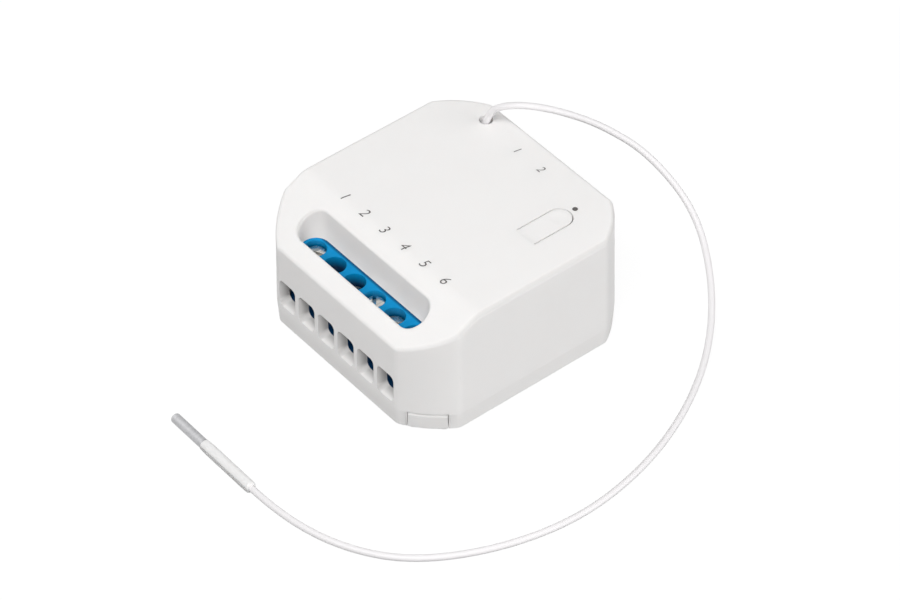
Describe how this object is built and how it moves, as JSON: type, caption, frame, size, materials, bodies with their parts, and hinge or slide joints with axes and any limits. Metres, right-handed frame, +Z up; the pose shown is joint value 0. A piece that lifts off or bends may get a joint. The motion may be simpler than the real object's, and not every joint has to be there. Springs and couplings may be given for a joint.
{
  "type": "smart relay module",
  "caption": "Small square relay module with a row of screw terminals, a flexing pairing button in the lid and a thin antenna lead.",
  "frame": {"origin": "middle of the flat underside of the housing", "axes": "+X along the row of terminals to the right, +Y from the terminals to the back, +Z up"},
  "size_m": [0.0712, 0.0897, 0.028],
  "materials": {
    "board_blue": "solder mask",
    "board_green": "solder mask",
    "can_aluminium": "sleeved can",
    "chip_black": "moulded",
    "ferrite": "sintered",
    "film_grey": "potted box",
    "housing_white": "fine satin moulded",
    "lead_jacket": "smooth jacket",
    "led_clear": "clear",
    "pin_brass": "gold flash",
    "plated_steel": "zinc plated",
    "plunger_white": "moulded",
    "relay_black": "moulded",
    "resistor_green": "cement coat",
    "shield_steel": "tinned",
    "sleeve_clear": "translucent shrink sleeve",
    "tape_yellow": "taped winding",
    "terminal_blue": "moulded",
    "tip_steel": "drawn tube",
    "varistor_blue": "dipped"
  },
  "bodies": {
    "housing": {"antenna_core": "lead_jacket", "antenna_lead": "lead_jacket", "antenna_lead_inside": "lead_jacket", "antenna_plug": "pin_brass", "antenna_sleeve": "sleeve_clear", "antenna_socket": "pin_brass", "antenna_tip_tube": "tip_steel", "base_cover": "housing_white", "bridge_rectifier": "chip_black", "driver_chip": "chip_black", "fuse_resistor": "resistor_green", "header_pins": "pin_brass", "header_spacer": "chip_black", "housing_shell": "housing_white", "inductor": "ferrite", "input_capacitor": "can_aluminium", "led_1": "led_clear", "led_2": "led_clear", "logic_board": "board_green", "output_capacitor": "can_aluminium", "power_board": "board_green", "receiver_board": "board_blue", "receiver_crystal": "shield_steel", "relay_1": "relay_black", "relay_2": "relay_black", "suppression_capacitor": "film_grey", "tact_switch_base": "chip_black", "terminal_body": "terminal_blue", "terminal_yokes": "plated_steel", "transformer_coil": "tape_yellow", "transformer_core": "ferrite", "varistor": "varistor_blue", "wifi_board": "board_blue", "wifi_shield": "shield_steel"},
    "button": {"pairing_button": "housing_white"},
    "plunger": {"tact_plunger": "plunger_white"},
    "plate_1": {"clamp_plate_1": "plated_steel"},
    "screw_1": {"clamp_screw_1": "plated_steel"},
    "plate_2": {"clamp_plate_2": "plated_steel"},
    "screw_2": {"clamp_screw_2": "plated_steel"},
    "plate_3": {"clamp_plate_3": "plated_steel"},
    "screw_3": {"clamp_screw_3": "plated_steel"},
    "plate_4": {"clamp_plate_4": "plated_steel"},
    "screw_4": {"clamp_screw_4": "plated_steel"},
    "plate_5": {"clamp_plate_5": "plated_steel"},
    "screw_5": {"clamp_screw_5": "plated_steel"},
    "plate_6": {"clamp_plate_6": "plated_steel"},
    "screw_6": {"clamp_screw_6": "plated_steel"}
  },
  "joints": [
    {"name": "button_flex", "type": "hinge", "parent": "housing", "child": "button", "pos_m": [0.01291, 0.0059, 0.0223], "axis": [-1, 0, 0], "range_deg": [0, 2.5], "stiffness_Nm_per_rad": 0.25},
    {"name": "plunger_travel", "type": "slide", "parent": "housing", "child": "plunger", "axis": [0, 0, -1], "range_m": [0, 0.0003]},
    {"name": "plate_lift_1", "type": "slide", "parent": "housing", "child": "plate_1", "axis": [0, 0, -1], "range_m": [-0.00069, 0.0023]},
    {"name": "screw_turn_1", "type": "hinge", "parent": "plate_1", "child": "screw_1", "pos_m": [-0.0125, -0.0163, 0.012], "axis": [0, 0, -1], "range_deg": [-497.3, 1656.5]},
    {"name": "plate_lift_2", "type": "slide", "parent": "housing", "child": "plate_2", "axis": [0, 0, -1], "range_m": [-0.00271, 0.00028]},
    {"name": "screw_turn_2", "type": "hinge", "parent": "plate_2", "child": "screw_2", "pos_m": [-0.0075, -0.0163, 0.012], "axis": [0, 0, -1], "range_deg": [-1951.7, 202.1]},
    {"name": "plate_lift_3", "type": "slide", "parent": "housing", "child": "plate_3", "axis": [0, 0, -1], "range_m": [-0.0022, 0.00079]},
    {"name": "screw_turn_3", "type": "hinge", "parent": "plate_3", "child": "screw_3", "pos_m": [-0.0025, -0.0163, 0.012], "axis": [0, 0, -1], "range_deg": [-1584.5, 569.3]},
    {"name": "plate_lift_4", "type": "slide", "parent": "housing", "child": "plate_4", "axis": [0, 0, -1], "range_m": [-0.0006, 0.00239]},
    {"name": "screw_turn_4", "type": "hinge", "parent": "plate_4", "child": "screw_4", "pos_m": [0.0025, -0.0163, 0.012], "axis": [0, 0, -1], "range_deg": [-432.5, 1721.3]},
    {"name": "plate_lift_5", "type": "slide", "parent": "housing", "child": "plate_5", "axis": [0, 0, -1], "range_m": [-0.00126, 0.00173]},
    {"name": "screw_turn_5", "type": "hinge", "parent": "plate_5", "child": "screw_5", "pos_m": [0.0075, -0.0163, 0.012], "axis": [0, 0, -1], "range_deg": [-907.7, 1246.1]},
    {"name": "plate_lift_6", "type": "slide", "parent": "housing", "child": "plate_6", "axis": [0, 0, -1], "range_m": [-0.0016, 0.00139]},
    {"name": "screw_turn_6", "type": "hinge", "parent": "plate_6", "child": "screw_6", "pos_m": [0.0125, -0.0163, 0.012], "axis": [0, 0, -1], "range_deg": [-1152.5, 1001.3]}
  ],
  "couplings": [
    {"joint": "plunger_travel", "follows": "button_flex", "m_per_rad": 0.00678},
    {"joint": "screw_turn_1", "follows": "plate_lift_1", "rad_per_m": 12566},
    {"joint": "screw_turn_2", "follows": "plate_lift_2", "rad_per_m": 12566},
    {"joint": "screw_turn_3", "follows": "plate_lift_3", "rad_per_m": 12566},
    {"joint": "screw_turn_4", "follows": "plate_lift_4", "rad_per_m": 12566},
    {"joint": "screw_turn_5", "follows": "plate_lift_5", "rad_per_m": 12566},
    {"joint": "screw_turn_6", "follows": "plate_lift_6", "rad_per_m": 12566}
  ]
}
